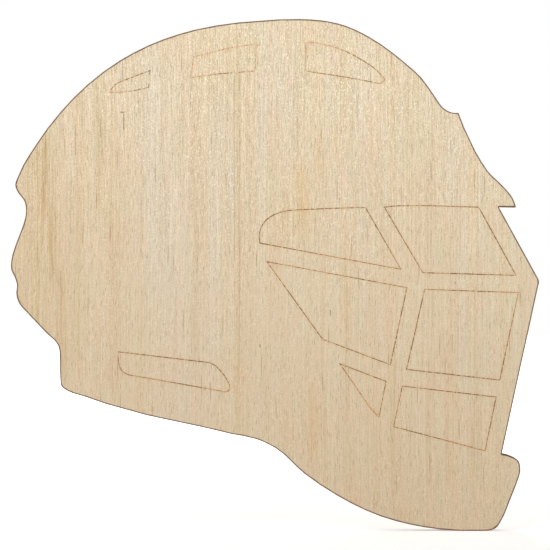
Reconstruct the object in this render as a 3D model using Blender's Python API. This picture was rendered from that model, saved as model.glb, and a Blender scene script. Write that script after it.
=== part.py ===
"""Goalie mask craft cutout: a flat birch plywood silhouette with the mask's openings scored on its face.

The board stands upright. +X points the way the mask faces and +Z is up. The scored face looks
towards -Y, the plain back lies in the plane Y = 0, and the origin is the middle of the back.
"""

from math import radians

import bmesh
import bpy
from mathutils import Vector
from mathutils.geometry import interpolate_bezier

# Driving dimensions, in metres
WIDTH = 0.15875
BOARD_THICKNESS = 0.00635
FACE_PLY_THICKNESS = 0.00095
GLUE_LINE = 0.0003
SCORE_WIDTH = 0.0003
BEND_PER_STEP = radians(4)

# The three inner plies share what the two face plies and the four glue lines leave
INNER_PLY_THICKNESS = (BOARD_THICKNESS - 2 * FACE_PLY_THICKNESS - 4 * GLUE_LINE) / 3

# The plies behind the face, front to back: name, thickness, linear colour
BACKING_PLIES = (
    ("cross_band_front", INNER_PLY_THICKNESS, (0.50, 0.34, 0.19)),
    ("core_ply", INNER_PLY_THICKNESS, (0.58, 0.41, 0.24)),
    ("cross_band_back", INNER_PLY_THICKNESS, (0.50, 0.34, 0.19)),
    ("back_veneer", FACE_PLY_THICKNESS, (0.68, 0.53, 0.36)),
)
FACE_COLOUR = (0.71, 0.57, 0.39)
FACE_ROUGHNESS = 0.62
INNER_ROUGHNESS = 0.75

# Every outline is a list of stretches, in millimetres, read clockwise from the front. A stretch
# starts at the corner where the one before it ended, runs smoothly through its points and ends
# at a corner. A stretch of one point is a straight cut to that corner.
SILHOUETTE = [
    # brow, down to the tip of the brim
    [
        (56.9, 44.4), (60.2, 37.4), (62.0, 34.3), (63.9, 31.4), (68.7, 26.6), (71.4, 23.3), (72.5, 20.4),
    ],
    # notch under the brim, then the cage's upper front bar
    [(67.3, 20.5)],
    [(78.9, -0.6)],
    # front tip of the cage, then its long bar down to the chin
    [(79.4, -1.8), (79.2, -3.2)],
    [(68.2, -53.9)],
    [
        # chin guard
        (70.9, -54.5), (73.3, -56.0), (73.8, -58.0), (72.6, -63.0), (70.8, -67.5), (67.7, -74.5),
        (66.6, -76.0), (64.8, -76.8), (62.1, -77.0), (55.5, -77.0), (45.0, -75.9), (31.8, -72.6),
        (18.6, -66.3), (8.9, -59.8), (0.2, -52.1), (-5.5, -49.4), (-13.3, -47.8), (-20.8, -46.0),
        # jaw line, round the lower back corner
        (-38.6, -42.2), (-50.9, -38.8), (-57.5, -36.5), (-62.5, -34.8), (-64.2, -33.5), (-64.6, -31.3),
        # nape, over its two bumps
        (-64.7, -26.0), (-65.2, -21.3), (-68.9, -17.3), (-74.1, -11.8), (-77.2, -8.0), (-77.8, -5.6),
        (-77.6, -3.0), (-78.2, -0.8), (-79.3, 1.6), (-79.3, 4.4), (-77.9, 9.4), (-75.9, 14.6),
        (-74.9, 19.0), (-75.3, 22.0), (-77.4, 25.0), (-78.1, 26.7),
        # crown, from the back of the head over the top to the notch above the brow
        (-77.1, 30.1), (-72.3, 38.6), (-64.4, 49.2), (-56.4, 57.3), (-46.7, 64.5), (-38.0, 69.1),
        (-24.5, 73.7), (-10.9, 76.0), (1.0, 76.9), (7.1, 77.0), (14.0, 76.6), (21.2, 75.0), (27.7, 72.0),
        (39.4, 63.6), (44.0, 59.4), (48.3, 53.4), (50.6, 50.3), (53.2, 48.9), (55.2, 48.8),
    ],
]

SCORED_SHAPES = {
    "crown_vent_rear": [
        [(-48.7, 56.6), (-42.9, 59.5), (-37.6, 61.5)],
        [(-38.0, 56.5)],
        [(-42.8, 55.4), (-49.7, 55.0)],
    ],
    "crown_vent_middle": [
        [(-14.2, 68.2), (-5.6, 69.6)],
        [(-6.0, 61.4)],
        [(-16.8, 60.5), (-25.3, 59.4)],
        [(-24.5, 65.6)],
    ],
    "crown_vent_front": [
        [
            (13.1, 69.7), (19.4, 68.0), (25.8, 64.9), (31.9, 60.2), (32.9, 58.8), (31.9, 57.7),
            (29.6, 58.0), (21.9, 59.4), (9.1, 61.4),
        ],
        [(9.6, 70.2)],
    ],
    "side_slot": [
        [(-20.0, -26.3)],
        [(-18.2, -27.1), (-16.5, -28.7), (-14.3, -31.8), (-13.6, -33.6), (-14.0, -34.8), (-15.6, -35.0)],
        [(-44.1, -30.0)],
        [(-45.9, -28.9), (-47.2, -25.0), (-47.2, -23.1)],
    ],
    "eye_window_rear": [
        [(-4.7, 11.6), (-4.3, 13.9), (-3.1, 16.0), (1.4, 18.8), (6.6, 19.6), (18.7, 20.1), (27.2, 20.3)],
        [(37.9, 1.7)],
        [(-4.5, 9.6)],
    ],
    "eye_window_front": [
        [(36.6, 20.8), (45.0, 20.9), (61.3, 20.4)],
        [(72.5, -0.1)],
        [(44.5, 0.7)],
        [(32.9, 20.4)],
    ],
    "cheek_window_rear": [[(-2.4, 4.0)], [(39.7, -3.8)], [(34.7, -27.0)], [(14.3, -19.3)]],
    "cheek_window_front": [[(45.0, -4.3)], [(73.2, -5.3)], [(67.6, -31.6)], [(39.6, -28.4)]],
    "jaw_window_rear": [
        [(33.4, -32.0)],
        [(31.3, -42.7)],
        [(30.5, -42.0), (25.2, -34.9), (19.5, -26.7)],
    ],
    "jaw_window_front": [[(38.3, -33.4)], [(66.5, -36.7)], [(63.2, -52.9)], [(35.7, -45.6)]],
}


def mirrored_tangent(tangent, chord):
    """Return the tangent at a stretch's end, so that its last piece bends evenly from end to end."""
    direction = chord.normalized()
    return 2 * direction.dot(tangent) * direction - tangent


def smooth_stretch(knots):
    """Return the points of one smooth curve through the knots, more of them where it bends more."""
    chords = [after - before for before, after in zip(knots, knots[1:])]
    if len(chords) == 1:
        return knots
    tangents = []
    for before, after in zip(chords, chords[1:]):
        tangent = before.normalized() * after.length + after.normalized() * before.length
        tangents.append(tangent.normalized())
    tangents.insert(0, mirrored_tangent(tangents[0], chords[0]))
    tangents.append(mirrored_tangent(tangents[-1], chords[-1]))

    points = [knots[0]]
    for index, chord in enumerate(chords):
        start, end = knots[index], knots[index + 1]
        bend = tangents[index].angle(chord) + chord.angle(tangents[index + 1])
        steps = max(1, round(bend / BEND_PER_STEP))
        handle = chord.length / 3
        curve = interpolate_bezier(
            start, start + tangents[index] * handle, end - tangents[index + 1] * handle, end, steps + 1
        )
        points.extend(curve[1:])
    return points


def drawn_outline(stretches):
    """Return a closed outline's points, in drawn millimetres, from its list of stretches."""
    outline = []
    corner = Vector(stretches[-1][-1])
    for stretch in stretches:
        curve = smooth_stretch([corner] + [Vector(knot) for knot in stretch])
        outline.extend(curve[1:])
        corner = curve[-1]
    return outline


def offset_outline(outline, distance):
    """Return a clockwise outline moved outwards by the distance, with its corners kept sharp."""
    moved = []
    for before, here, after in zip(outline[-1:] + outline[:-1], outline, outline[1:] + outline[:1]):
        arriving = (here - before).normalized()
        leaving = (after - here).normalized()
        outwards_before = Vector((-arriving.y, arriving.x))
        outwards_after = Vector((-leaving.y, leaving.x))
        mitre = (outwards_before + outwards_after) / (1 + outwards_before.dot(outwards_after))
        moved.append(here + mitre * distance)
    return moved


def birch(name, colour, roughness):
    """Return a wood material of one colour, given as linear red, green and blue."""
    material = bpy.data.materials.new(name)
    material.use_nodes = True
    shader = material.node_tree.nodes["Principled BSDF"]
    shader.inputs["Base Color"].default_value = (*colour, 1)
    shader.inputs["Roughness"].default_value = roughness
    shader.inputs["Metallic"].default_value = 0
    return material


def flat_piece(name, outline, holes, front, thickness, material, parent):
    """Add one flat sheet: the outline less its holes, with its front face in the plane y = front."""
    sheet = bmesh.new()
    for loop in (outline, *holes):
        corners = [sheet.verts.new((x, 0, z)) for x, z in loop]
        for start, end in zip(corners, corners[1:] + corners[:1]):
            sheet.edges.new((start, end))
    bmesh.ops.triangle_fill(sheet, edges=sheet.edges[:], use_beauty=True)
    extruded = bmesh.ops.extrude_face_region(sheet, geom=sheet.faces[:])
    back_corners = [item for item in extruded["geom"] if isinstance(item, bmesh.types.BMVert)]
    bmesh.ops.translate(sheet, verts=back_corners, vec=(0, thickness, 0))
    bmesh.ops.recalc_face_normals(sheet, faces=sheet.faces[:])

    mesh = bpy.data.meshes.new(name)
    sheet.to_mesh(mesh)
    sheet.free()
    mesh.materials.append(material)
    piece = bpy.data.objects.new(name, mesh)
    bpy.context.collection.objects.link(piece)
    piece.location.y = front
    piece.parent = parent
    return piece


def build():
    for leftover in list(bpy.data.objects):
        bpy.data.objects.remove(leftover)

    drawn = drawn_outline(SILHOUETTE)
    left, right = min(point.x for point in drawn), max(point.x for point in drawn)
    bottom, top = min(point.y for point in drawn), max(point.y for point in drawn)
    middle = Vector(((left + right) / 2, (bottom + top) / 2))
    scale = WIDTH / (right - left)

    def placed(outline):
        return [(point - middle) * scale for point in outline]

    silhouette = placed(drawn)
    scores = {name: placed(drawn_outline(stretches)) for name, stretches in SCORED_SHAPES.items()}

    cutout = bpy.data.objects.new("cutout", None)
    bpy.context.collection.objects.link(cutout)

    front = -BOARD_THICKNESS
    face_wood = birch("face_birch", FACE_COLOUR, FACE_ROUGHNESS)
    window_edges = [offset_outline(score, SCORE_WIDTH / 2) for score in scores.values()]
    flat_piece("face_veneer", silhouette, window_edges, front, FACE_PLY_THICKNESS, face_wood, cutout)
    for name, score in scores.items():
        panel = offset_outline(score, -SCORE_WIDTH / 2)
        wood = birch(name + "_birch", FACE_COLOUR, FACE_ROUGHNESS)
        flat_piece(name, panel, (), front, FACE_PLY_THICKNESS, wood, cutout)

    front += FACE_PLY_THICKNESS + GLUE_LINE
    for name, thickness, colour in BACKING_PLIES:
        wood = birch(name + "_birch", colour, INNER_ROUGHNESS)
        flat_piece(name, silhouette, (), front, thickness, wood, cutout)
        front += thickness + GLUE_LINE


build()
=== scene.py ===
"""Looks of the goalie mask craft cutout: sanded birch veneer, toasted ply edges and scorched score lines.

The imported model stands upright. Its scored face looks towards -Y, the mask faces +X, and the
wood's grain runs up and down, along Z, except in the two cross bands, where it runs along X.
"""

from math import radians

import bmesh
import bpy
import numpy as np
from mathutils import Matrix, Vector


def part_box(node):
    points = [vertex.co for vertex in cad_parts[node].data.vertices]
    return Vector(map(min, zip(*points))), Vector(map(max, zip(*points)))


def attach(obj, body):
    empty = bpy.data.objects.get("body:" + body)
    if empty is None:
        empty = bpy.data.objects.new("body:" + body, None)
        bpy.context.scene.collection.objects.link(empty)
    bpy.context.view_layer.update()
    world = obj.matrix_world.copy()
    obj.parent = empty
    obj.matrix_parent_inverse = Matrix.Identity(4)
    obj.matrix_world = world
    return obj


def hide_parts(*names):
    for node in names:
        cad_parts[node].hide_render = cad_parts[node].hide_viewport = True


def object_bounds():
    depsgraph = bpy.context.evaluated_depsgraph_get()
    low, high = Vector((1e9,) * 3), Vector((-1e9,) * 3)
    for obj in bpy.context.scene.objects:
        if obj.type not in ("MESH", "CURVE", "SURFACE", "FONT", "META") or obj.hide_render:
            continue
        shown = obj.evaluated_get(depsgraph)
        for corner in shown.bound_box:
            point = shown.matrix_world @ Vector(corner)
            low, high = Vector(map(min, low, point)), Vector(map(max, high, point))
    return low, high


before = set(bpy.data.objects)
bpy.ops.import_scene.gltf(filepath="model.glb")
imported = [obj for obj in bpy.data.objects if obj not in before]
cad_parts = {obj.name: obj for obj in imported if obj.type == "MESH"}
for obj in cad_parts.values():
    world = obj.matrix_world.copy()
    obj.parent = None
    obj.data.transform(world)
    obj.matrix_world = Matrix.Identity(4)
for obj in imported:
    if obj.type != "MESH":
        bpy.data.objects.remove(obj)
cad_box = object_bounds()

MM = 0.001
LOW, HIGH = cad_box
MIDDLE = (LOW + HIGH) / 2
FRONT = Vector((0, -1, 0))
BACK = Vector((0, 1, 0))

PLIES = ("face_veneer", "cross_band_front", "core_ply", "cross_band_back", "back_veneer")
PANELS = sorted(set(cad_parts) - set(PLIES))

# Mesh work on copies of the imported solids
MERGE_DISTANCE = 0.001 * MM
FLAT_WITHIN = radians(0.2)
SHARP_OVER = radians(30)
CELL = 1.5 * MM  # spacing of the points that carry distances across a sheet
FACES_STRAIGHT = 0.99  # least share of a flat side's normal that points its way
WALL_LEAN = 0.1  # most that an upright wall's normal may point to the front or back

# What the laser and the glue leave behind
ARRIS_WIDTH = 0.28 * MM  # bevel round the outer cut, on the face and on the back
SCORE_WIDTH = 0.3 * MM  # slot round each panel
SCORE_BURN_WIDTH = 0.21 * MM  # dark hollow along the middle of the slot
SCORE_LIP = 0.015 * MM  # how far under the face the hollow starts
SCORE_DEPTH = 0.1 * MM  # how far under the face it ends
CHAR_THICKNESS = 0.5 * MM
FILM_INSET = 0.9994  # share of its size that a glue film keeps, to stop short of the cut

# Where the veneer's figure shows on the scored face, in millimetres from the middle of the cutout:
# place across, lowest and highest point, half width, and how strongly it is tinted
TAN_STREAKS = (
    (-72.0, -42, 50, 13.0, 0.55), (-69.0, 12, 47, 2.4, 0.80), (-66.5, -8, 24, 2.2, 0.80),
    (-64.0, -36, 6, 2.0, 0.85), (-60.0, -36, 34, 5.0, 0.30), (-52.5, 10, 62, 2.0, 0.45),
    (-48.0, -42, 26, 3.6, 0.50), (-24.0, -34, 62, 1.6, 0.45), (-11.2, -46, 77, 1.1, 0.50),
    (-2.4, 18, 75, 1.0, 0.30), (21.6, -48, 24, 1.1, 0.40), (22.5, -74, -42, 2.6, 0.35),
    (46.7, -72, 52, 2.2, 0.45), (35.6, -74, -20, 1.2, 0.45), (60.0, -70, 10, 3.0, 0.35),
)
ORANGE_STREAKS = (
    (13.5, 24, 48, 2.4, 0.85), (18.0, 31, 50, 2.0, 0.80), (8.0, 6, 38, 6.0, 1.0), (2.5, 4, 30, 2.8, 0.80),
    (21.5, -20, 18, 2.4, 0.60), (28.5, -24, 60, 3.0, 0.50), (11.0, -62, -28, 3.6, 1.0),
    (5.0, -58, -36, 3.4, 0.65), (-9.5, -60, -20, 2.4, 0.45), (34.0, -66, 22, 4.0, 0.40),
    (-58.0, -30, 64, 2.2, 0.30), (52.5, -74, 24, 3.4, 0.60), (64.0, -74, -30, 4.0, 0.35),
)
PALE_STREAKS = (
    (-37.0, -20, 78, 9.0, 1.0), (-29.5, -64, 40, 9.5, 0.75), (-18.5, -50, 64, 4.0, 0.90),
    (-13.5, 4, 68, 2.8, 0.95), (-3.5, 10, 76, 4.0, 0.75), (3.5, 34, 80, 9.0, 0.80),
    (28.0, -30, 66, 8.0, 0.40), (54.0, -45, 52, 9.0, 0.35),
)
PORE_LINES = (
    (-45.8, 58.6, 64.4, 0.26, 0.5), (-45.5, 43.6, 48.6, 0.30, 0.8), (-60.0, 36, 45.5, 0.24, 0.6),
    (-12.2, 4, 60, 0.28, 0.35), (-10.6, -28, 44, 0.26, 0.30), (-45.9, 48.5, 49.3, 1.1, 0.85),
    (16.6, -12.4, -10.4, 0.28, 0.8), (-4.5, -21.9, -20.7, 0.45, 0.6), (54.2, -2.9, -1.9, 0.30, 0.6),
)

# Where the laser barely marked a scored line, listed the same way
UNBURNT_ENDS = ((-37.8, 57.2, 60.4, 1.4, 0.95),)

# Wood colours as linear red, green, blue and alpha
FACE_WOOD = {
    "Cream": (0.750, 0.620, 0.440, 1),
    "Tan": (0.728, 0.572, 0.355, 1),
    "Blush": (0.748, 0.572, 0.410, 1),
    "Vessel": (0.380, 0.235, 0.115, 1),
}
BACK_WOOD = {
    "Cream": (0.700, 0.560, 0.380, 1),
    "Tan": (0.640, 0.480, 0.290, 1),
    "Blush": (0.680, 0.500, 0.335, 1),
    "Vessel": (0.300, 0.180, 0.090, 1),
}
PALE_FLECK = (1.00, 0.93, 0.78, 1)

# Tints that multiply the face's wood
# The crown and chin tints grade the face from lighter at the top to darker at the bottom: partly the wood's
# own tone, partly painted light from above and painted shade towards the chin
CROWN_PAINTED_LIGHT_TINT = (1.020, 1.030, 1.034, 1)
CHIN_PAINTED_SHADE_TINT = (0.882, 0.845, 0.801, 1)
NAPE_TINT = (0.990, 0.980, 0.968, 1)
CAGE_TINT = (1.008, 1.018, 1.030, 1)
GREENISH_TINT = (0.990, 1.010, 1.010, 1)
ROSY_TINT = (1.011, 0.991, 0.994, 1)
TAN_TINT = (0.84, 0.75, 0.60, 1)
ORANGE_TINT = (0.98, 0.88, 0.74, 1)
PALE_TINT = (1.00, 1.035, 1.13, 1)
PORE_TINT = (0.36, 0.29, 0.23, 1)
WARMED_TINT = (0.98, 0.93, 0.86, 1)

# Burnt wood, from a smoke stain to char; the pairs run from dark to light, or from lip to bottom
CUT_SCORCH = (0.13, 0.066, 0.032, 1)
SMOKE_STAIN = (0.36, 0.20, 0.085, 1)
BACK_CHAR = (0.075, 0.042, 0.024, 1)
UPRIGHT_EDGE = ((0.195, 0.080, 0.024, 1), (0.370, 0.175, 0.052, 1))
CROSS_EDGE = ((0.085, 0.043, 0.022, 1), (0.175, 0.092, 0.044, 1))
ARRIS_EDGE = ((0.225, 0.078, 0.017, 1), (0.410, 0.170, 0.038, 1))
EDGE_FIBRE = (0.40, 0.235, 0.12, 1)
EDGE_BURN = (0.045, 0.024, 0.014, 1)
GLUE = ((0.030, 0.016, 0.009, 1), (0.085, 0.045, 0.024, 1))
DEEP_CHAR = ((0.62, 0.37, 0.19, 1), (0.155, 0.042, 0.012, 1))
FAINT_CHAR = ((0.74, 0.51, 0.30, 1), (0.33, 0.135, 0.05, 1))
SKIPPED_WOOD = (0.70, 0.56, 0.40, 1)
UNBURNT_WOOD = (0.76, 0.63, 0.46, 1)

# The studio, in metres where a name doesn't say otherwise
LENS_MM = 200.0
SENSOR_MM = 36.0
VIEW_WIDTH = 165.35 * MM  # what the frame takes in at the scored face
FLOOR_SIZE = 6.0
FLOOR_GREY = (0.92, 0.92, 0.92, 1)
GLOW_DISTANCES = (0.15, 0.6)
GLOW_STRENGTHS = (0.45, 1.0)

# The white surroundings' strength, as the light they give and as the camera sees them
WHITE = (1, 1, 1, 1)
SURROUND_LIGHT = 0.342
SURROUND_SEEN = 1.0

# Each lamp's name, place, size in metres and power in watts
LAMPS = (
    ("key_light", (-0.9, -1.4, 1.3), 1.0, 11.9),
    ("fill_light", (1.2, -1.1, 0.6), 1.2, 4.3),
    ("back_light", (-0.5, 1.5, 1.0), 1.2, 12.2),
)


# ---------------------------------------------------------------- mesh helpers


def merged_copy(node):
    """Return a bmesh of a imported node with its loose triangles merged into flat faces."""
    sheet = bmesh.new()
    sheet.from_mesh(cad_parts[node].data)
    bmesh.ops.remove_doubles(sheet, verts=sheet.verts[:], dist=MERGE_DISTANCE)
    bmesh.ops.dissolve_limit(
        sheet, angle_limit=FLAT_WITHIN, verts=sheet.verts[:], edges=sheet.edges[:]
    )
    sheet.normal_update()
    return sheet


def faces_towards(sheet, direction):
    """Return the faces whose normal points straight along the direction."""
    return [face for face in sheet.faces if face.normal.dot(direction) > FACES_STRAIGHT]


def rim_edges(sheet, direction):
    """Return the edges where the flat side facing the direction meets the cut walls."""
    flat = set(faces_towards(sheet, direction))
    return [edge for edge in sheet.edges if len(flat.intersection(edge.link_faces)) == 1]


def rim_segments(node):
    """Return the start and end points, seen from the front, of the edges round a node's front."""
    sheet = merged_copy(node)
    ends = [[(corner.co.x, corner.co.z) for corner in edge.verts] for edge in rim_edges(sheet, FRONT)]
    sheet.free()
    return np.array(ends)


def distances_to(segments, points):
    """Return each point's distance to the nearest of the line segments."""
    starts, runs = segments[:, 0], segments[:, 1] - segments[:, 0]
    lengths = (runs**2).sum(axis=1)
    nearest = np.full(len(points), np.inf)
    for start, run, length in zip(starts, runs, lengths):
        along = np.clip((points - start) @ run / length, 0, 1)
        gap = points - start - along[:, None] * run
        nearest = np.minimum(nearest, np.hypot(gap[:, 0], gap[:, 1]))
    return nearest


def cut_into_cells(sheet):
    """Cut a sheet by a grid of upright planes, so that values on its points can follow its outline."""
    for axis, low, high in ((Vector((1, 0, 0)), LOW.x, HIGH.x), (Vector((0, 0, 1)), LOW.z, HIGH.z)):
        place = low + CELL / 2
        while place < high:
            everything = sheet.verts[:] + sheet.edges[:] + sheet.faces[:]
            bmesh.ops.bisect_plane(
                sheet, geom=everything, dist=MERGE_DISTANCE, plane_co=axis * place, plane_no=axis
            )
            place += CELL


def piece_from(sheet, name, materials):
    """Turn a bmesh into a finished piece that rides on the cutout's one body."""
    mesh = bpy.data.meshes.new(name)
    sheet.to_mesh(mesh)
    sheet.free()
    for material in materials:
        mesh.materials.append(material)
    mesh.shade_smooth()
    mesh.set_sharp_from_angle(angle=SHARP_OVER)
    piece = bpy.data.objects.new(name, mesh)
    bpy.context.scene.collection.objects.link(piece)
    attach(piece, "root")
    return piece


def store_distance(piece, name, distances):
    """Keep one distance for each point of a piece, in metres, for its material to read."""
    values = piece.data.attributes.new(name, "FLOAT", "POINT")
    values.data.foreach_set("value", np.asarray(distances, dtype=np.float32))


def front_view_points(mesh):
    """Return a mesh's points as seen from the front, as x and z."""
    places = np.empty(len(mesh.vertices) * 3, dtype=np.float32)
    mesh.vertices.foreach_get("co", places)
    return places.reshape(-1, 3)[:, (0, 2)].astype(float)


# ------------------------------------------------------------- node-tree helpers

FLOAT, VECTOR, COLOUR = "NodeSocketFloat", "NodeSocketVector", "NodeSocketColor"


def fill_sockets(tree, sockets, values):
    """Set each socket to its plain value, or link it to another node's output."""
    for name, value in values.items():
        if isinstance(value, bpy.types.NodeSocket):
            tree.links.new(value, sockets[name])
        else:
            sockets[name].default_value = value


def add_node(tree, kind, inputs=None, **settings):
    """Add a node, apply its settings and fill its inputs."""
    made = tree.nodes.new(kind)
    for name, value in settings.items():
        setattr(made, name, value)
    fill_sockets(tree, made.inputs, inputs or {})
    return made


def maths(tree, operation, first, second=0.0, third=0.0):
    """Add a Math node and return its result."""
    return add_node(tree, "ShaderNodeMath", {0: first, 1: second, 2: third}, operation=operation).outputs[0]


def vector_maths(tree, operation, first, second):
    """Add a Vector Math node and return its vector."""
    made = add_node(tree, "ShaderNodeVectorMath", {0: first, 1: second}, operation=operation)
    return made.outputs["Vector"]


def weighted_sum(tree, *parts):
    """Add up pairs of a value and its weight and return the total."""
    total = 0.0
    for value, weight in parts:
        total = maths(tree, "MULTIPLY_ADD", value, weight, total)
    return total


def vector_of(tree, **parts):
    """Add a Combine XYZ node, with any part left out as 0, and return its vector."""
    return add_node(tree, "ShaderNodeCombineXYZ", parts).outputs["Vector"]


def parts_of(tree, vector):
    """Add a Separate XYZ node and return its outputs."""
    return add_node(tree, "ShaderNodeSeparateXYZ", {"Vector": vector}).outputs


def noise(tree, vector, scale, detail, roughness=0.5):
    """Add a cloudy noise with so many patches to the metre and return its value."""
    values = {"Vector": vector, "Scale": scale, "Detail": detail, "Roughness": roughness}
    return add_node(tree, "ShaderNodeTexNoise", values).outputs["Fac"]


def ramp(tree, value, low, high, low_out=0.0, high_out=1.0, shape="SMOOTHSTEP"):
    """Add a Map Range from low..high to low_out..high_out and return its result."""
    made = add_node(
        tree,
        "ShaderNodeMapRange",
        {"Value": value, "From Min": low, "From Max": high, "To Min": low_out, "To Max": high_out},
        interpolation_type=shape,
    )
    return made.outputs["Result"]


def blend(tree, amount, first, second, mode="MIX"):
    """Add a colour Mix node and return its colour."""
    made = add_node(tree, "ShaderNodeMix", data_type="RGBA", blend_type=mode)
    sockets = {socket.identifier: socket for socket in made.inputs}
    fill_sockets(tree, sockets, {"Factor_Float": amount, "A_Color": first, "B_Color": second})
    return next(socket for socket in made.outputs if socket.identifier == "Result_Color")


def tint_all(tree, colour, tint):
    """Multiply a colour by a tint everywhere."""
    return blend(tree, 1.0, colour, tint, "MULTIPLY")


def stain(tree, colour, mask, strength, stain_colour, mode="MIX"):
    """Stain a colour where a mask shows, as strongly as the strength lets it."""
    return blend(tree, maths(tree, "MULTIPLY", mask, strength), colour, stain_colour, mode)


def new_group(name, inputs, outputs):
    """Start a shader node group with named sockets and return its tree, input node and output node."""
    tree = bpy.data.node_groups.new(name, "ShaderNodeTree")
    for label, kind, default in inputs:
        socket = tree.interface.new_socket(label, in_out="INPUT", socket_type=kind)
        if default is not None:
            socket.default_value = default
    for label, kind in outputs:
        tree.interface.new_socket(label, in_out="OUTPUT", socket_type=kind)
    return tree, tree.nodes.new("NodeGroupInput"), tree.nodes.new("NodeGroupOutput")


def use_group(tree, group, inputs):
    """Place a node group in a tree with its own values."""
    return add_node(tree, "ShaderNodeGroup", inputs, node_tree=group)


# --------------------------------------------------------------- shared effects


def make_grain_tone():
    """Long soft streaks along Z: width and length are the size of one streak, in metres."""
    tree, given, result = new_group(
        "grain_tone",
        (("Vector", VECTOR, None), ("Width", FLOAT, 1 * MM), ("Length", FLOAT, 10 * MM),
         ("Detail", FLOAT, 2.0), ("Place", FLOAT, 0.0)),
        (("Tone", FLOAT),),
    )
    width, length = given.outputs["Width"], given.outputs["Length"]
    size = vector_of(tree, X=width, Y=width, Z=length)
    scaled = vector_maths(tree, "DIVIDE", given.outputs["Vector"], size)
    clouds = add_node(
        tree, "ShaderNodeTexNoise",
        {"Vector": scaled, "W": given.outputs["Place"], "Scale": 1.0,
         "Detail": given.outputs["Detail"], "Roughness": 0.55},
        noise_dimensions="4D",
    )
    tree.links.new(clouds.outputs["Fac"], result.inputs["Tone"])
    return tree


def make_wander():
    """How far straight grain leans to one side at each place on its way up."""
    tree, given, result = new_group(
        "grain_wander",
        (("Vector", VECTOR, None), ("Reach", FLOAT, 2 * MM), ("Length", FLOAT, 50 * MM)),
        (("Shift", FLOAT),),
    )
    inverse = maths(tree, "DIVIDE", 1.0, given.outputs["Length"])
    sway = noise(tree, given.outputs["Vector"], inverse, detail=1.0)
    centred = maths(tree, "SUBTRACT", sway, 0.5)
    tree.links.new(maths(tree, "MULTIPLY", centred, given.outputs["Reach"]), result.inputs["Shift"])
    return tree


def bent_grain(tree, wander, vector, reach, length):
    """Return a vector that follows grain leaning up to half the reach either way, in metres."""
    shift = use_group(tree, wander, {"Vector": vector, "Reach": reach, "Length": length}).outputs["Shift"]
    return vector_maths(tree, "ADD", vector, vector_of(tree, X=shift))


def make_streak():
    """One upright mark: its half width across the grain, its reach along it, and ends that fade."""
    tree, given, result = new_group(
        "grain_streak",
        (("Vector", VECTOR, None), ("Across", FLOAT, 0.0), ("Low", FLOAT, 0.0), ("High", FLOAT, 10 * MM),
         ("Half Width", FLOAT, 1 * MM), ("Fade", FLOAT, 1 * MM)),
        (("Mask", FLOAT),),
    )
    place = parts_of(tree, given.outputs["Vector"])
    off = maths(tree, "ABSOLUTE", maths(tree, "SUBTRACT", place["X"], given.outputs["Across"]))
    sides = ramp(tree, off, 0.0, given.outputs["Half Width"], 1.0, 0.0)
    above = maths(tree, "SUBTRACT", place["Z"], given.outputs["Low"])
    below = maths(tree, "SUBTRACT", given.outputs["High"], place["Z"])
    ends = ramp(tree, maths(tree, "MINIMUM", above, below), 0.0, given.outputs["Fade"])
    tree.links.new(maths(tree, "MULTIPLY", sides, ends), result.inputs["Mask"])
    return tree


def make_ticks():
    """Short slim marks along Z, such as open vessels or pale flecks, one in some of the cells."""
    tree, given, result = new_group(
        "grain_ticks",
        (("Vector", VECTOR, None), ("Spacing", FLOAT, 1 * MM), ("Length", FLOAT, 9 * MM),
         ("Girth", FLOAT, 0.15), ("Share", FLOAT, 0.5), ("Place", FLOAT, 0.0)),
        (("Mask", FLOAT),),
    )
    place = parts_of(tree, given.outputs["Vector"])
    across = maths(tree, "ADD", maths(tree, "DIVIDE", place["X"], given.outputs["Spacing"]),
                   given.outputs["Place"])
    along = maths(tree, "DIVIDE", place["Z"], given.outputs["Length"])
    cells = add_node(
        tree, "ShaderNodeTexVoronoi",
        {"Vector": vector_of(tree, X=across, Y=along), "Scale": 1.0, "Randomness": 1.0},
        voronoi_dimensions="2D",
    )
    tone = add_node(tree, "ShaderNodeSeparateColor", {"Color": cells.outputs["Color"]}).outputs["Red"]
    shown = maths(tree, "LESS_THAN", tone, given.outputs["Share"])
    core = maths(tree, "MULTIPLY", given.outputs["Girth"], 0.4)
    shape = ramp(tree, cells.outputs["Distance"], core, given.outputs["Girth"], 1.0, 0.0)
    tree.links.new(maths(tree, "MULTIPLY", shape, shown), result.inputs["Mask"])
    return tree


def make_scorch():
    """Browning that fades with distance from a cut and is a little ragged along it."""
    tree, given, result = new_group(
        "laser_scorch",
        (("Vector", VECTOR, None), ("Distance", FLOAT, 1.0), ("Core", FLOAT, 0.2 * MM),
         ("Reach", FLOAT, 0.5 * MM), ("Raggedness", FLOAT, 0.3), ("Patch", FLOAT, 2 * MM)),
        (("Mask", FLOAT),),
    )
    inverse = maths(tree, "DIVIDE", 1.0, given.outputs["Patch"])
    patches = noise(tree, given.outputs["Vector"], inverse, detail=2.0, roughness=0.6)
    ragged = maths(tree, "MULTIPLY", maths(tree, "SUBTRACT", patches, 0.5), given.outputs["Raggedness"])
    stretch = maths(tree, "ADD", 1.0, ragged)
    measured = maths(tree, "MULTIPLY", given.outputs["Distance"], stretch)
    fade = ramp(tree, measured, given.outputs["Core"], given.outputs["Reach"], 1.0, 0.0)
    tree.links.new(fade, result.inputs["Mask"])
    return tree


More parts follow.
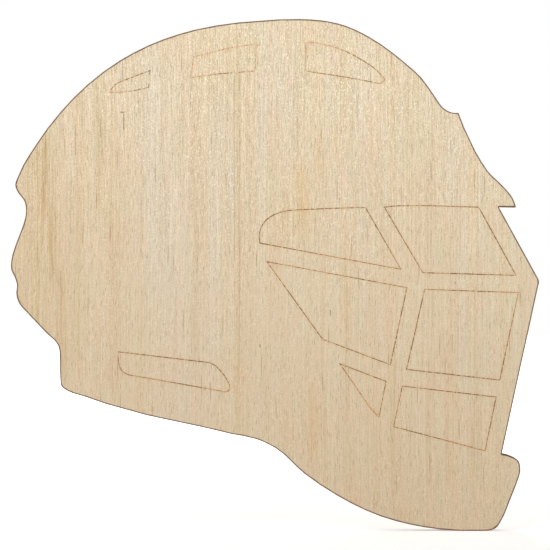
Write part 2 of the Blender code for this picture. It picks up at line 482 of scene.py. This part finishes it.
def make_birch_figure(grain_tone, wander, ticks):
    """Birch veneer's colour and relief: bands, fibres, open vessels and pale flecks, grain along Z."""
    tree, given, result = new_group(
        "birch_figure",
        (("Vector", VECTOR, None), ("Cream", COLOUR, (1, 1, 1, 1)), ("Tan", COLOUR, (1, 1, 1, 1)),
         ("Blush", COLOUR, (1, 1, 1, 1)), ("Vessel", COLOUR, (1, 1, 1, 1)), ("Place", FLOAT, 0.0),
         ("Band Contrast", FLOAT, 1.0), ("Fibre Contrast", FLOAT, 1.0)),
        (("Color", COLOUR), ("Height", FLOAT)),
    )
    band_contrast, fibre_contrast = given.outputs["Band Contrast"], given.outputs["Fibre Contrast"]
    bent = bent_grain(tree, wander, given.outputs["Vector"], reach=3 * MM, length=90 * MM)
    bent = bent_grain(tree, wander, bent, reach=0.4 * MM, length=9 * MM)

    def shifted(shift):
        """A layer's place in the noise, so that no two layers coincide."""
        return maths(tree, "ADD", given.outputs["Place"], shift)

    def streaks(width, length, detail, shift):
        """Streaks of a width and length in millimetres."""
        values = {"Vector": bent, "Width": width * MM, "Length": length * MM, "Detail": detail,
                  "Place": shifted(shift)}
        return use_group(tree, grain_tone, values).outputs["Tone"]

    def marks(spacing, length, girth, share, shift):
        """Slim marks of a spacing and length in millimetres."""
        values = {"Vector": bent, "Spacing": spacing * MM, "Length": length * MM, "Girth": girth,
                  "Share": share, "Place": shifted(shift)}
        return use_group(tree, ticks, values).outputs["Mask"]

    def grain_layer(width, length, detail, shift):
        """Streaks that both darken and lighten, round 0."""
        return maths(tree, "SUBTRACT", streaks(width, length, detail, shift), 0.5)

    bands = ramp(tree, streaks(width=3.2, length=140, detail=2, shift=0.0), 0.42, 0.68)
    blush = ramp(tree, streaks(width=2.6, length=40, detail=2, shift=3.0), 0.45, 0.68)
    colour = stain(tree, given.outputs["Cream"], bands, band_contrast, given.outputs["Tan"])
    blush = maths(tree, "MULTIPLY", blush, band_contrast)
    colour = stain(tree, colour, blush, 0.5, given.outputs["Blush"])

    narrow = grain_layer(width=1.0, length=50, detail=2, shift=7.0)
    lines = grain_layer(width=0.22, length=34, detail=2, shift=11.0)
    fibres = grain_layer(width=0.20, length=3.2, detail=2, shift=13.0)
    grit = grain_layer(width=0.22, length=0.45, detail=0, shift=17.0)
    tone = weighted_sum(tree, (narrow, 0.05), (lines, 0.55), (fibres, 0.60), (grit, 0.50))
    tone = maths(tree, "MULTIPLY", tone, fibre_contrast)
    red, green, blue = (maths(tree, "MULTIPLY_ADD", tone, share, 1.0) for share in (0.85, 1.0, 1.25))
    colour = tint_all(tree, colour, vector_of(tree, X=red, Y=green, Z=blue))

    pores = marks(spacing=0.60, length=6, girth=0.19, share=0.42, shift=23.0)
    long_pores = marks(spacing=2.2, length=80, girth=0.055, share=0.65, shift=31.0)
    vessels = maths(tree, "MAXIMUM", maths(tree, "MULTIPLY", pores, 0.65), long_pores)
    colour = stain(tree, colour, vessels, 0.78, given.outputs["Vessel"])
    patches = ramp(tree, streaks(width=9, length=30, detail=1, shift=37.0), 0.38, 0.6, 0.15, 1.0)
    flecks = marks(spacing=0.5, length=2.1, girth=0.22, share=0.40, shift=29.0)
    bright = maths(tree, "MULTIPLY", maths(tree, "MULTIPLY", flecks, patches), fibre_contrast)
    colour = stain(tree, colour, bright, 0.65, PALE_FLECK)

    height = weighted_sum(tree, (lines, 0.5), (fibres, 0.8), (grit, 0.5), (vessels, -0.5))
    tree.links.new(colour, result.inputs["Color"])
    tree.links.new(height, result.inputs["Height"])
    return tree


# -------------------------------------------------------------------- materials


def new_material(name):
    """Start a material and return it with its tree, its shader and the object's own coordinates."""
    material = bpy.data.materials.new(name)
    material.use_nodes = True
    tree = material.node_tree
    shader = tree.nodes["Principled BSDF"]
    where = add_node(tree, "ShaderNodeTexCoord").outputs["Object"]
    return material, tree, shader, where


def finish_surface(tree, shader, colour, roughness, specular, height, depth):
    """Give the shader its colour, roughness and specular level, and a relief so many metres deep."""
    tree.links.new(colour, shader.inputs["Base Color"])
    tree.links.new(roughness, shader.inputs["Roughness"])
    shader.inputs["Specular IOR Level"].default_value = specular
    bump = add_node(tree, "ShaderNodeBump", {"Height": height, "Strength": 1.0, "Distance": depth})
    tree.links.new(bump.outputs["Normal"], shader.inputs["Normal"])


def streak_tone(groups, tree, vector, width, length, detail, place):
    """Return the value of soft streaks whose width and length are in millimetres."""
    values = {
        "Vector": vector, "Width": width * MM, "Length": length * MM, "Detail": detail, "Place": place,
    }
    return use_group(tree, groups["grain_tone"], values).outputs["Tone"]


def streak_mask(groups, tree, vector, span, fade):
    """Return the mask of one listed streak, whose ends fade over so many millimetres."""
    across, low, high, half_width = span
    values = {
        "Vector": vector, "Across": across * MM, "Low": low * MM, "High": high * MM,
        "Half Width": half_width * MM, "Fade": fade * MM,
    }
    return use_group(tree, groups["grain_streak"], values).outputs["Mask"]


def scorch_mask(groups, tree, vector, distance, core, reach, raggedness, patch):
    """Return the mask of a burn beside a cut, whose core, reach and ragged patches are in millimetres."""
    stored = add_node(tree, "ShaderNodeAttribute", attribute_name=distance).outputs["Fac"]
    values = {
        "Vector": vector, "Distance": stored, "Core": core * MM, "Reach": reach * MM,
        "Raggedness": raggedness, "Patch": patch * MM,
    }
    return use_group(tree, groups["laser_scorch"], values).outputs["Mask"]


def tint_streaks(groups, tree, vector, colour, streaks, tint, fade, thinnest, place):
    """Tint a colour along a list of upright streaks, each as thin as thinnest between its fibres."""
    tone = streak_tone(groups, tree, vector, width=0.7, length=45, detail=2.0, place=place)
    fibres = ramp(tree, tone, 0.38, 0.62, thinnest, 1.0)
    for *span, strength in streaks:
        mask = maths(tree, "MULTIPLY", streak_mask(groups, tree, vector, span, fade), fibres)
        colour = stain(tree, colour, mask, strength, tint, "MULTIPLY")
    return colour


def make_face_birch(groups):
    """The sanded face: lighter at the crown and tanner at the chin, partly the wood's own tone and partly
    painted light and shade, browned along cuts and score lines.
    """
    material, tree, shader, where = new_material("face_birch")
    place = parts_of(tree, where)
    # Painted light and shade mixed with the wood's tone: the face darkens from crown to chin
    painted_light_downwards = ramp(tree, place["Z"], HIGH.z, LOW.z, shape="LINEAR")
    forwards = ramp(tree, place["X"], LOW.x, HIGH.x, shape="LINEAR")
    figure = use_group(tree, groups["birch_figure"], {
        "Vector": where,
        "Band Contrast": 0.55,
        "Fibre Contrast": ramp(tree, place["Z"], -25 * MM, 70 * MM, 0.8, 1.6),
        **FACE_WOOD,
    }).outputs
    # Lighter at the crown and darker at the chin, part wood tone and part painted light and shade
    colour = tint_all(tree, figure["Color"], blend(tree, painted_light_downwards, CROWN_PAINTED_LIGHT_TINT, CHIN_PAINTED_SHADE_TINT))
    colour = tint_all(tree, colour, blend(tree, forwards, NAPE_TINT, CAGE_TINT))
    hue = streak_tone(groups, tree, where, width=4.5, length=14, detail=1.0, place=21.0)
    colour = tint_all(tree, colour, blend(tree, ramp(tree, hue, 0.34, 0.66), GREENISH_TINT, ROSY_TINT))

    swayed = bent_grain(tree, groups["grain_wander"], where, reach=2 * MM, length=25 * MM)
    for streaks, tint, fade, thinnest, noise_place in (
        (TAN_STREAKS, TAN_TINT, 12, 0.3, 12.0),
        (ORANGE_STREAKS, ORANGE_TINT, 12, 0.3, 12.0),
        (PALE_STREAKS, PALE_TINT, 25, 0.5, 25.0),
    ):
        colour = tint_streaks(groups, tree, swayed, colour, streaks, tint, fade, thinnest, noise_place)
    colour = tint_streaks(
        groups, tree, where, colour, PORE_LINES, PORE_TINT, fade=0.3, thinnest=1.0, place=0.3
    )

    score = scorch_mask(
        groups, tree, where, "score_distance", core=-0.1, reach=0.75, raggedness=0.8, patch=2.5
    )
    colour = stain(tree, colour, score, 0.8, WARMED_TINT, "MULTIPLY")
    cut = scorch_mask(groups, tree, where, "cut_distance", core=0.3, reach=0.45, raggedness=0.5, patch=3)
    colour = stain(tree, colour, cut, 0.92, CUT_SCORCH)

    rough = maths(tree, "MULTIPLY_ADD", cut, 0.2, 0.58)
    rough = maths(tree, "MULTIPLY_ADD", figure["Height"], 0.08, rough)
    finish_surface(tree, shader, colour, rough, specular=0.3, height=figure["Height"], depth=0.06 * MM)
    return material


def make_back_birch(groups):
    """The plain back: a coarser veneer with smoke stain along the cut."""
    material, tree, shader, where = new_material("back_birch")
    figure = use_group(tree, groups["birch_figure"], {
        "Vector": where, "Place": 41.0, "Band Contrast": 0.9, "Fibre Contrast": 1.25, **BACK_WOOD,
    }).outputs
    smoke = scorch_mask(groups, tree, where, "cut_distance", core=-1, reach=6, raggedness=1.8, patch=9)
    colour = stain(tree, figure["Color"], smoke, 0.6, SMOKE_STAIN)
    char = scorch_mask(groups, tree, where, "cut_distance", core=0.25, reach=0.8, raggedness=0.8, patch=3)
    colour = stain(tree, colour, char, 0.85, BACK_CHAR)
    rough = maths(tree, "MULTIPLY_ADD", char, 0.2, 0.66)
    finish_surface(tree, shader, colour, rough, specular=0.3, height=figure["Height"], depth=0.05 * MM)
    return material


def make_toasted_edge(groups, name, turn, place, burns):
    """A ply's laser-cut edge: dark to caramel brown, with the ply's own grain and fine burn lines."""
    material, tree, shader, where = new_material(name)
    dark, light = burns
    along = add_node(tree, "ShaderNodeMapping", {"Vector": where, "Rotation": (0, turn, 0)}).outputs["Vector"]
    fibres = streak_tone(groups, tree, along, width=0.22, length=6, detail=3.0, place=place)
    patches = noise(tree, where, 1 / (14 * MM), detail=2.0)
    squeezed = add_node(tree, "ShaderNodeMapping", {"Vector": where, "Scale": (1, 0.06, 1)}).outputs["Vector"]
    burn_lines = noise(tree, squeezed, 1 / (0.35 * MM), detail=3.0)
    colour = blend(tree, ramp(tree, patches, 0.35, 0.68), dark, light)
    colour = stain(tree, colour, ramp(tree, fibres, 0.45, 0.72), 0.5, EDGE_FIBRE)
    colour = stain(tree, colour, ramp(tree, burn_lines, 0.5, 0.7), 0.65, EDGE_BURN)
    rough = ramp(tree, burn_lines, 0.3, 0.7, 0.75, 0.9)
    height = weighted_sum(tree, (fibres, 0.5), (burn_lines, -1.0))
    finish_surface(tree, shader, colour, rough, specular=0.1, height=height, depth=0.08 * MM)
    return material


def make_glue_line():
    """Cured resin at a ply edge, burnt nearly black."""
    material, tree, shader, where = new_material("glue_line")
    tone = noise(tree, where, 1 / (2 * MM), detail=3.0)
    colour = blend(tree, ramp(tree, tone, 0.35, 0.65), *GLUE)
    rough = ramp(tree, tone, 0.3, 0.7, 0.6, 0.8)
    finish_surface(tree, shader, colour, rough, specular=0.2, height=tone, depth=0.03 * MM)
    return material


def make_score_char(groups, name, burns, gaps):
    """The burnt hollow of a score line: browned at its lips, darker below, paler where the laser skipped."""
    material, tree, shader, where = new_material(name)
    lip, bottom = burns
    deep = ramp(tree, parts_of(tree, where)["Y"], LOW.y + SCORE_LIP, LOW.y + SCORE_DEPTH)
    dwell = noise(tree, where, 1 / (0.9 * MM), detail=2.0, roughness=0.6)
    slow = noise(tree, where, 1 / (12 * MM), detail=1.0)
    shade = ramp(tree, weighted_sum(tree, (dwell, 0.6), (slow, 0.4)), 0.38, 0.60, 0.45, 1.30)
    colour = tint_all(tree, blend(tree, deep, lip, bottom), vector_of(tree, X=shade, Y=shade, Z=shade))
    colour = stain(tree, colour, ramp(tree, dwell, 0.5, 0.58), gaps, SKIPPED_WOOD)
    for *span, strength in UNBURNT_ENDS:
        mask = streak_mask(groups, tree, where, span, fade=0.6)
        colour = stain(tree, colour, mask, strength, UNBURNT_WOOD)
    rough = ramp(tree, dwell, 0.3, 0.7, 0.9, 0.7)
    finish_surface(tree, shader, colour, rough, specular=0.2, height=dwell, depth=0.03 * MM)
    return material


def make_floor_white():
    """A pale floor that turns to plain white light well away from the object."""
    material, tree, shader, where = new_material("studio_floor")
    away = add_node(tree, "ShaderNodeVectorMath", {0: where}, operation="LENGTH").outputs["Value"]
    shader.inputs["Base Color"].default_value = FLOOR_GREY
    shader.inputs["Roughness"].default_value = 0.9
    shader.inputs["Emission Color"].default_value = WHITE
    glow = ramp(tree, away, *GLOW_DISTANCES, *GLOW_STRENGTHS)
    tree.links.new(glow, shader.inputs["Emission Strength"])
    return material


# ----------------------------------------------------------------------- pieces


def take_off_arris(sheet, direction, cut_rim):
    """Bevel the sharp edges where the outer cut meets the flat side that faces the direction."""
    rims = rim_edges(sheet, direction)
    middles = [(edge.verts[0].co + edge.verts[1].co) / 2 for edge in rims]
    gaps = distances_to(cut_rim, np.array([(point.x, point.z) for point in middles]))
    bmesh.ops.bevel(
        sheet, geom=[edge for edge, gap in zip(rims, gaps) if gap < ARRIS_WIDTH], offset=ARRIS_WIDTH,
        offset_type="OFFSET", segments=2, profile=0.5, affect="EDGES", clamp_overlap=True, material=-1,
    )
    sheet.normal_update()


def paint_sides(sheet):
    """Give flat sides the first material, cut walls the second and the arris between them the third."""
    for face in sheet.faces:
        face.material_index = 2 if abs(face.normal.y) > WALL_LEAN else 1
    for face in faces_towards(sheet, FRONT) + faces_towards(sheet, BACK):
        face.material_index = 0


def add_face_sheet(node, materials, cut_rim, score_rims):
    """Add the face veneer's field or one of its panels, with its distances to the cuts."""
    is_field = node == "face_veneer"
    sheet = merged_copy(node)
    if is_field:
        take_off_arris(sheet, FRONT, cut_rim)
    cut_into_cells(sheet)
    paint_sides(sheet)
    piece = piece_from(sheet, node + "_sanded", materials)
    points = front_view_points(piece.data)
    store_distance(piece, "cut_distance", distances_to(cut_rim, points))
    # The rims belong to the panels, so the field starts a slot's width away from them
    gap = SCORE_WIDTH if is_field else 0
    store_distance(piece, "score_distance", np.maximum(distances_to(score_rims, points) - gap, 0))
    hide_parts(node)


def add_back_sheet(materials, cut_rim):
    """Add the plain back veneer."""
    sheet = merged_copy("back_veneer")
    take_off_arris(sheet, BACK, cut_rim)
    cut_into_cells(sheet)
    paint_sides(sheet)
    piece = piece_from(sheet, "back_veneer_smoked", materials)
    store_distance(piece, "cut_distance", distances_to(cut_rim, front_view_points(piece.data)))
    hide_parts("back_veneer")


def add_inner_ply(node, edge):
    """Add a ply that shows only at its toasted edge."""
    piece = piece_from(merged_copy(node), node + "_toasted", (edge,))
    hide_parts(node)


def add_glue_film(name, ply_before, ply_after, material):
    """Fill the gap between two plies with a film, a hair short of the cut edge."""
    film = merged_copy("core_ply")
    near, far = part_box(ply_before)[1].y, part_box(ply_after)[0].y
    middle = sum(corner.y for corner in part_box("core_ply")) / 2
    for corner in film.verts:
        corner.co.y = near if corner.co.y < middle else far
    bmesh.ops.scale(film, vec=(FILM_INSET, 1, FILM_INSET), verts=film.verts[:])
    piece_from(film, name, (material,))


def add_score_char(node, material):
    """Line the slot round a panel with burnt wood: two browned shoulders and a dark hollow between."""
    ring = merged_copy(node)
    panel = faces_towards(ring, FRONT)
    bmesh.ops.delete(ring, geom=[face for face in ring.faces if face not in panel], context="FACES")
    bmesh.ops.translate(ring, verts=ring.verts[:], vec=-FRONT * SCORE_LIP)
    shoulder = (SCORE_WIDTH - SCORE_BURN_WIDTH) / 2
    slope = SCORE_BURN_WIDTH / 2
    depth = SCORE_DEPTH - SCORE_LIP
    for width, drop in ((shoulder, 0), (slope, depth), (slope, -depth), (shoulder, 0)):
        bmesh.ops.inset_region(
            ring, faces=panel, thickness=-width, depth=-drop, use_even_offset=True, use_boundary=True
        )
    bmesh.ops.delete(ring, geom=panel, context="FACES")
    extruded = bmesh.ops.extrude_face_region(ring, geom=ring.faces[:])["geom"]
    bottom = [item for item in extruded if isinstance(item, bmesh.types.BMVert)]
    bmesh.ops.translate(ring, verts=bottom, vec=-FRONT * CHAR_THICKNESS)
    bmesh.ops.recalc_face_normals(ring, faces=ring.faces[:])
    piece_from(ring, "score_char_" + node, (material,))


def build():
    """Make the materials, then every veneer, panel, ply, glue film and score line."""
    grain_tone = make_grain_tone()
    wander = make_wander()
    ticks = make_ticks()
    groups = {
        "grain_tone": grain_tone,
        "grain_wander": wander,
        "grain_streak": make_streak(),
        "birch_figure": make_birch_figure(grain_tone, wander, ticks),
        "laser_scorch": make_scorch(),
    }
    face_birch = make_face_birch(groups)
    back_birch = make_back_birch(groups)
    upright, across = 0.0, radians(90)
    long_edge = make_toasted_edge(
        groups, "toasted_edge_upright_grain", turn=upright, place=2.0, burns=UPRIGHT_EDGE
    )
    cross_edge = make_toasted_edge(
        groups, "toasted_edge_cross_grain", turn=across, place=5.0, burns=CROSS_EDGE
    )
    arris = make_toasted_edge(groups, "toasted_arris", turn=upright, place=8.0, burns=ARRIS_EDGE)
    glue = make_glue_line()
    deep_char = make_score_char(groups, "deep_char", DEEP_CHAR, gaps=0.4)
    faint_char = make_score_char(groups, "faint_char", FAINT_CHAR, gaps=0.95)

    cut_rim = rim_segments("core_ply")
    panel_rims = {panel: rim_segments(panel) for panel in PANELS}
    every_score = np.concatenate(list(panel_rims.values()))

    face_materials = (face_birch, long_edge, arris)
    add_face_sheet("face_veneer", face_materials, cut_rim, every_score)
    for panel in PANELS:
        add_face_sheet(panel, face_materials, cut_rim, panel_rims[panel])
        add_score_char(panel, faint_char if panel.startswith("crown_vent") else deep_char)
    add_inner_ply("cross_band_front", cross_edge)
    add_inner_ply("core_ply", long_edge)
    add_inner_ply("cross_band_back", cross_edge)
    add_back_sheet((back_birch, long_edge, arris), cut_rim)
    for number, (before, after) in enumerate(zip(PLIES, PLIES[1:]), start=1):
        add_glue_film(f"glue_film_{number}", before, after, glue)


# ----------------------------------------------------------------------- studio


def add_camera():
    """Look straight at the scored face, with the silhouette filling the square frame."""
    data = bpy.data.cameras.new("camera")
    data.lens = LENS_MM
    data.sensor_width = SENSOR_MM
    camera = bpy.data.objects.new("camera", data)
    bpy.context.scene.collection.objects.link(camera)
    distance = VIEW_WIDTH * LENS_MM / SENSOR_MM
    camera.location = (MIDDLE.x, LOW.y - distance, MIDDLE.z)
    camera.rotation_euler = (radians(90), 0, 0)
    bpy.context.scene.camera = camera


def add_area_light(name, place, size, power):
    """Add a soft square light that looks at the object."""
    data = bpy.data.lights.new(name, "AREA")
    data.shape = "SQUARE"
    data.size = size
    data.energy = power
    light = bpy.data.objects.new(name, data)
    bpy.context.scene.collection.objects.link(light)
    light.location = place
    light.rotation_euler = (MIDDLE - Vector(place)).to_track_quat("-Z", "Y").to_euler()


def add_studio():
    """White surroundings, three soft lights and a pale floor under the object's lowest point."""
    world = bpy.data.worlds.new("studio_white")
    world.use_nodes = True
    tree = world.node_tree
    background = tree.nodes["Background"]
    background.inputs["Color"].default_value = WHITE
    seen = add_node(tree, "ShaderNodeLightPath").outputs["Is Camera Ray"]
    strength = ramp(tree, seen, 0, 1, SURROUND_LIGHT, SURROUND_SEEN)
    tree.links.new(strength, background.inputs["Strength"])
    bpy.context.scene.world = world
    for name, place, size, power in LAMPS:
        add_area_light(name, place, size, power)

    sheet = bmesh.new()
    bmesh.ops.create_grid(sheet, x_segments=1, y_segments=1, size=FLOOR_SIZE / 2)
    mesh = bpy.data.meshes.new("floor")
    sheet.to_mesh(mesh)
    sheet.free()
    mesh.materials.append(make_floor_white())
    floor = bpy.data.objects.new("floor", mesh)
    bpy.context.scene.collection.objects.link(floor)
    floor.location.z = LOW.z
    bpy.context.scene.view_settings.view_transform = "Standard"


add_camera()
build()
add_studio()
